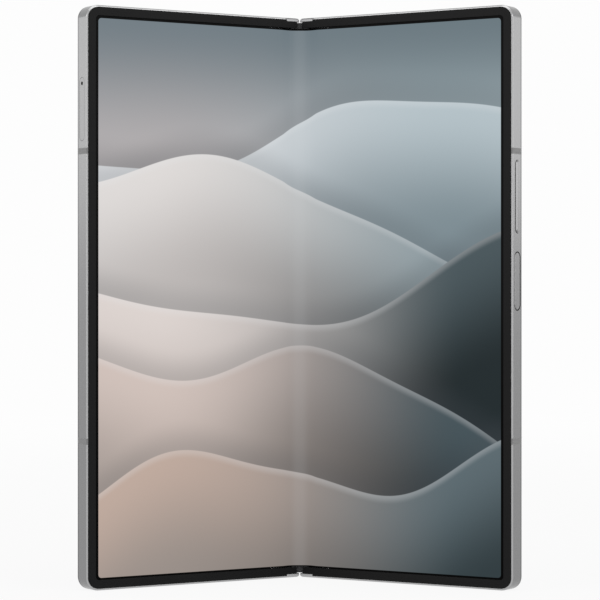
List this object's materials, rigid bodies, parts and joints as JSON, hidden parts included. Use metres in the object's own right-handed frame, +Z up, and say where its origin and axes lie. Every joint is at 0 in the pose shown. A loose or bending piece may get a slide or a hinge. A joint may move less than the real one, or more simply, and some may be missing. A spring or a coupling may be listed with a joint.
{
  "type": "foldable smartphone",
  "caption": "Book-style foldable phone standing part open, with a folding inner screen, geared double hinge, cover screen, rear cameras, side keys, card tray and charging port.",
  "frame": {"origin": "middle of the footprint, on the surface that the phone stands on", "axes": "+Z up along the fold, +X to the right seen from the screen side, +Y from the screen side to the back"},
  "size_m": [0.1168, 0.0398, 0.1535],
  "materials": {
    "satin_aluminium": "anodised, fine bead-blasted satin",
    "key_aluminium": "anodised satin",
    "antenna_plastic": "matt, tinted to the metal",
    "bezel_plastic": "matt soft-touch",
    "folding_screen": "lit picture under a gloss film",
    "cover_glass": "polished, black behind",
    "rear_glass": "fine matt etched",
    "camera_metal": "anodised satin",
    "lens_glass": "polished, coated",
    "flash_lens": "frosted",
    "camera_body": "black anodised",
    "black_module": "matt",
    "hinge_steel": "sintered, satin",
    "spring_steel": "drawn wire",
    "end_cap_plastic": "matt, dark grey",
    "thin_steel": "rolled",
    "circuit_board": "solder mask",
    "tinned_can": "tinned",
    "cell_pouch": "laminated foil",
    "copper": "enamelled",
    "flex_film": "polyimide film",
    "magnet": "nickel plated"
  },
  "bodies": {
    "hinge_spine": {"spine_cover": "satin_aluminium", "hinge_cradles": "hinge_steel", "sync_gear_housings": "hinge_steel", "sync_gear_pins": "hinge_steel", "hinge_end_caps": "end_cap_plastic", "hinge_friction_springs": "spring_steel", "spine_screws": "hinge_steel", "display_support_plate": "thin_steel", "display_fold_zone": "folding_screen", "hinge_flex_cables": "flex_film"},
    "sync_gear_left": {"sync_gear_left": "hinge_steel"},
    "sync_gear_right": {"sync_gear_right": "hinge_steel"},
    "left_half": {"left_frame": "satin_aluminium", "left_display_panel": "folding_screen", "left_bezel_trim": "bezel_plastic", "left_hinge_arms": "hinge_steel", "left_hinge_pins": "hinge_steel", "cover_display_glass": "cover_glass", "cover_display_panel": "black_module", "cover_camera": "black_module", "earpiece_speaker": "black_module", "left_battery": "cell_pouch", "left_circuit_board": "circuit_board", "card_reader": "tinned_can", "vibration_motor": "tinned_can", "left_magnets": "magnet", "left_antenna_breaks": "antenna_plastic", "left_screws": "hinge_steel"},
    "left_wing": {"left_wing_plate": "thin_steel"},
    "card_tray": {"card_tray": "key_aluminium"},
    "right_half": {"right_frame": "satin_aluminium", "right_display_panel": "folding_screen", "right_bezel_trim": "bezel_plastic", "right_hinge_arms": "hinge_steel", "right_hinge_pins": "hinge_steel", "rear_glass": "rear_glass", "camera_island": "camera_metal", "camera_rings": "camera_metal", "camera_lenses": "lens_glass", "camera_modules": "camera_body", "camera_flash": "flash_lens", "inner_camera": "black_module", "right_battery": "cell_pouch", "main_circuit_board": "circuit_board", "shield_cans": "tinned_can", "charging_coil": "copper", "usb_port": "tinned_can", "loudspeaker": "black_module", "key_switches": "thin_steel", "right_magnets": "magnet", "right_antenna_breaks": "antenna_plastic", "right_screws": "hinge_steel"},
    "right_wing": {"right_wing_plate": "thin_steel"},
    "volume_key": {"volume_key": "key_aluminium"},
    "power_key": {"power_key": "key_aluminium"}
  },
  "joints": [
    {"name": "left_fold", "type": "hinge", "parent": "hinge_spine", "child": "left_half", "pos_m": [-0.00173, 0.01568, 0], "axis": [0, 0, 1], "range_deg": [-32.3, 57.7], "deforming": ["display_fold_zone", "hinge_flex_cables"]},
    {"name": "right_fold", "type": "hinge", "parent": "hinge_spine", "child": "right_half", "pos_m": [0.00173, 0.01568, 0], "axis": [0, 0, 1], "range_deg": [-57.7, 32.3], "deforming": ["display_fold_zone", "hinge_flex_cables"]},
    {"name": "sync_gear_left_spin", "type": "hinge", "parent": "hinge_spine", "child": "sync_gear_left", "pos_m": [-0.00086, 0.01718, 0], "axis": [0, 0, 1], "range_deg": [-57.7, 32.3]},
    {"name": "sync_gear_right_spin", "type": "hinge", "parent": "hinge_spine", "child": "sync_gear_right", "pos_m": [0.00086, 0.01718, 0], "axis": [0, 0, 1], "range_deg": [-32.3, 57.7]},
    {"name": "left_wing_tip", "type": "hinge", "parent": "left_half", "child": "left_wing", "pos_m": [-0.0079, 0.01146, 0], "axis": [0, 0, 1], "range_deg": [-4.5, 8.03]},
    {"name": "right_wing_tip", "type": "hinge", "parent": "right_half", "child": "right_wing", "pos_m": [0.0079, 0.01146, 0], "axis": [0, 0, 1], "range_deg": [-8.03, 4.5]},
    {"name": "card_tray_slide", "type": "slide", "parent": "left_half", "child": "card_tray", "axis": [-0.8453, -0.5344, 0], "range_m": [0, 0.0145]},
    {"name": "volume_key_rock", "type": "hinge", "parent": "right_half", "child": "volume_key", "pos_m": [0.05568, -0.01673, 0.10325], "axis": [0.5344, 0.8453, 0], "range_deg": [-1.2, 1.2], "stiffness_Nm_per_rad": 0.4},
    {"name": "power_key_press", "type": "slide", "parent": "right_half", "child": "power_key", "axis": [0.8453, -0.5344, 0], "range_m": [-0.00025, 0], "stiffness_N_per_m": 3000}
  ],
  "couplings": [
    {"joint": "right_fold", "follows": "left_fold", "ratio": -1},
    {"joint": "sync_gear_left_spin", "follows": "left_fold", "ratio": -1},
    {"joint": "sync_gear_right_spin", "follows": "left_fold", "ratio": 1},
    {"joint": "left_wing_tip", "follows": "left_fold", "ratio": 0.139},
    {"joint": "right_wing_tip", "follows": "left_fold", "ratio": -0.139}
  ]
}
